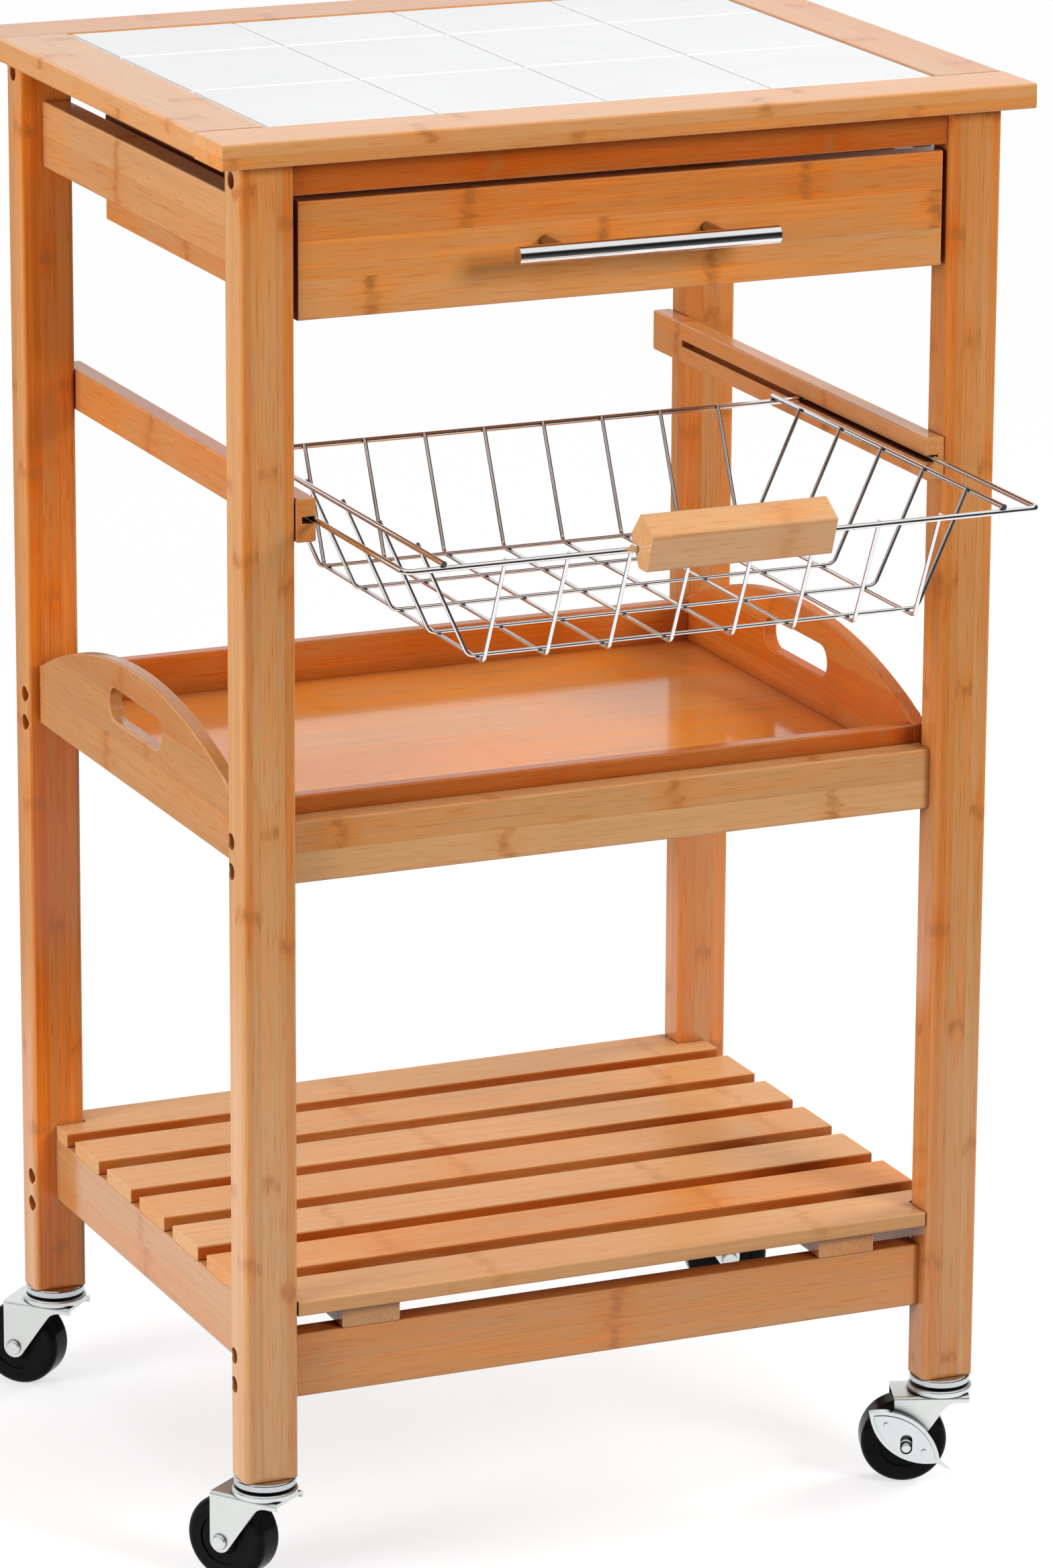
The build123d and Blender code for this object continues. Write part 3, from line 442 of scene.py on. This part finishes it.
def glazed_tile():
    made, g, shader = material("tile_glaze")
    where = g.add("ShaderNodeTexCoord").outputs["Object"]
    cloud = g.noise(where, TILE_CLOUD)
    _, bend = g.rounding(TILE_ROUNDING, 6)
    glaze = g.mix(cloud, TILE_DARK, TILE_PALE)
    # Painted highlight on the rounded tile edges
    g.put(shader.inputs["Base Color"], g.mix(g.remap(bend, *TILE_HIGHLIGHT_BEND), glaze, TILE_EDGE_HIGHLIGHT))
    g.put(shader.inputs["Roughness"], g.remap(cloud, *MIDDLE, *TILE_ROUGHNESS))
    shader.inputs["Specular IOR Level"].default_value = 0.06
    wave = g.add("ShaderNodeBump", {"Height": g.noise(where, TILE_WAVE, 1.0), "Strength": 0.05,
                                    "Distance": 0.001})
    g.put(shader.inputs["Normal"], wave.outputs[0])
    return made


MATTE_SPREAD = 0.06
MATTE_DEPTH = 0.0004


def matte(name, light, dark, roughness, scale, bump):
    """A plain surface with a fine uneven grain."""
    made, g, shader = material(name)
    where = g.add("ShaderNodeTexCoord").outputs["Object"]
    grain = g.noise(where, scale, 4.0, 0.65)
    g.put(shader.inputs["Base Color"], g.mix(grain, (*dark, 1.0), (*light, 1.0)))
    g.put(shader.inputs["Roughness"], g.remap(grain, 0.25, 0.75, roughness - MATTE_SPREAD,
                                              roughness + MATTE_SPREAD))
    rough = g.add("ShaderNodeBump", {"Height": grain, "Strength": bump, "Distance": MATTE_DEPTH})
    g.put(shader.inputs["Normal"], rough.outputs[0])
    return made, shader


dress("tiles", glazed_tile())
GROUT, _ = matte("grout", (0.86, 0.86, 0.86), (0.80, 0.80, 0.79), 0.8, 900.0, 0.3)
dress("tile_grout", GROUT)
BLACK, black_shader = matte("wheel_black", (0.008, 0.008, 0.008), (0.004, 0.004, 0.004), 0.16, 120.0, 0.02)
black_shader.inputs["Specular IOR Level"].default_value = 0.05
for place in ("front_left", "front_right", "back_left", "back_right"):
    dress("caster_fork_" + place, ZINC)
    dress("caster_axle_" + place, ZINC)
    dress("caster_wheel_" + place, BLACK)

# Floor: pale, turning white to the camera away from the object, so that its shadow stays. Polished pieces see
# it pale near the object and dark further away; matt ones get little light back from it
FLOOR_SIZE = 30.0
FLOOR_PLACE = (0.0, 4.0, -0.0005)
FLOOR_ROUGHNESS = 0.9
FLOOR_PALE = grey(0.94)
FLOOR_BOUNCE = grey(0.26)
FLOOR_DARK = grey(0.03)
FLOOR_FADE = (0.5, 2.4)
FLOOR_GLOW = (0.62, 0.98)
NEAR_REACH = (1.3, 0.8)
NEAR_GLOW = 0.66
BEHIND_REACH = (-0.2, 0.5)
BEHIND_SLANT = 0.75
BEHIND_GLOW = 0.06
FAR_GAIN = 1.5

bpy.ops.mesh.primitive_plane_add(size=FLOOR_SIZE, location=FLOOR_PLACE)
floor = bpy.context.object
floor.name = "floor"
made, g, shader = material("floor_white")
path = g.add("ShaderNodeLightPath").outputs
shader.inputs["Roughness"].default_value = FLOOR_ROUGHNESS
glow = g.add("ShaderNodeEmission", {"Color": grey(1.0), "Strength": 1.0})
spot = g.add("ShaderNodeNewGeometry").outputs["Position"]
reach = g.vector("LENGTH", spot, output="Value")
to_camera = g.times(path["Is Camera Ray"], g.remap(reach, *FLOOR_FADE, *FLOOR_GLOW))
floor_x, floor_y, _ = g.split(spot)
slant = g.times(g.math("ABSOLUTE", floor_x), BEHIND_SLANT)
behind = g.remap(g.minus(floor_y, slant), *BEHIND_REACH, 0.0, BEHIND_GLOW)
near = g.math("MAXIMUM", behind, g.remap(reach, *NEAR_REACH, 0.0, NEAR_GLOW))
to_metal = g.times(path["Is Glossy Ray"], near)
pale = g.mix(path["Is Diffuse Ray"], FLOOR_PALE, FLOOR_BOUNCE)
far = g.times(path["Is Glossy Ray"], g.minus(NEAR_GLOW, near))
g.put(shader.inputs["Base Color"], g.mix(g.times(far, FAR_GAIN), pale, FLOOR_DARK))
blend = g.add("ShaderNodeMixShader", {0: g.plus(to_camera, to_metal, clamp=True), 1: shader.outputs[0],
                                      2: glow.outputs[0]})
g.put(made.node_tree.nodes["Material Output"].inputs["Surface"], blend.outputs[0])
floor.data.materials.append(made)

# Studio: matt surfaces get soft grey light, more from behind; polished ones see a white wall behind, a white
# ceiling, one lit panel at the left and a dark front
WALL_SLANT = 0.6
WALL_TILT = 0.25
WALL_EDGE = (0.05, 0.35)
CEILING_EDGE = (0.42, 0.66)
CEILING_LEVEL = (0.02, 1.0)
PANEL = (-0.893, -0.186, 0.409)
PANEL_EDGE = (0.94, 0.97)
PANEL_LEVEL = 0.9
MATT_EDGE = (-0.1, 0.7)
MATT_LEVEL = (0.20, 0.95)

world = bpy.data.worlds.new("studio")
scene.world = world
world.use_nodes = True
g = Graph(world.node_tree)
ray = g.add("ShaderNodeTexCoord").outputs["Generated"]
path = g.add("ShaderNodeLightPath").outputs
across, depth, height = g.split(ray)
aside = g.times(g.math("ABSOLUTE", across), WALL_SLANT)
wall = g.minus(g.minus(depth, g.times(height, WALL_TILT)), aside)
room = g.math("MAXIMUM", g.remap(wall, *WALL_EDGE), g.remap(height, *CEILING_EDGE, *CEILING_LEVEL))
towards = g.vector("DOT_PRODUCT", ray, PANEL, "Value")
room = g.math("MAXIMUM", room, g.remap(towards, *PANEL_EDGE, 0.0, PANEL_LEVEL))
level = g.plus(g.times(path["Is Glossy Ray"], room), path["Is Camera Ray"])
matt = g.minus(1.0, g.plus(path["Is Glossy Ray"], path["Is Camera Ray"]), clamp=True)
level = g.plus(level, g.times(matt, g.remap(depth, *MATT_EDGE, *MATT_LEVEL)))
back = world.node_tree.nodes["Background"]
g.put(back.inputs["Color"], g.add("ShaderNodeCombineColor", {0: level, 1: level, 2: level}).outputs[0])
back.inputs["Strength"].default_value = 1.0

# Lamps: place, target, size and power; polished pieces see the studio instead of them
LAMPS = {
    "key": ((1.3, -2.5, 1.75), (0.0, 0.0, 0.45), (0.9, 0.9), 61.0),
    "overhead": ((-0.2, -0.3, 2.9), (0.0, 0.0, 0.6), (1.8, 1.6), 25.0),
    "left": ((-2.4, -0.5, 0.85), (0.0, 0.0, 0.5), (1.2, 0.9), 66.0),
    "right": ((2.4, 0.4, 1.25), (0.0, 0.0, 0.4), (1.2, 1.2), 62.0),
}
for name, (place, target, size, power) in LAMPS.items():
    light = bpy.data.lights.new(name, "AREA")
    light.shape = "RECTANGLE"
    light.size, light.size_y = size
    light.energy = power
    lamp = bpy.data.objects.new(name, light)
    scene.collection.objects.link(lamp)
    lamp.location = place
    lamp.visible_glossy = False
    direction = lamp.location.copy()
    direction.x, direction.y, direction.z = (target[axis] - place[axis] for axis in range(3))
    lamp.rotation_euler = direction.to_track_quat("-Z", "Y").to_euler()

# Camera solved from the photograph's own edges, in a frame of 1568 by 2334 pixels; its place is counted from
# the middle of the worktop's upper face
SENSOR = 36.0
LENS = 165.6
CLIP_END = 100.0
CAMERA_FROM_TOP = (-1.58956, -3.6627, 0.719147)
CAMERA_TURN = (74.0124, -0.31036, -23.65162)

eye = bpy.data.cameras.new("camera")
eye.sensor_width = SENSOR
eye.lens = LENS
eye.clip_end = CLIP_END
camera = bpy.data.objects.new("camera", eye)
scene.collection.objects.link(camera)
left_low, left_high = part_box("worktop_left")
right_low, right_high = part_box("worktop_right")
top = ((left_low[0] + right_high[0]) / 2, (left_low[1] + left_high[1]) / 2, left_high[2])
camera.location = tuple(top[axis] + CAMERA_FROM_TOP[axis] for axis in range(3))
camera.rotation_euler = tuple(math.radians(turn) for turn in CAMERA_TURN)
scene.camera = camera
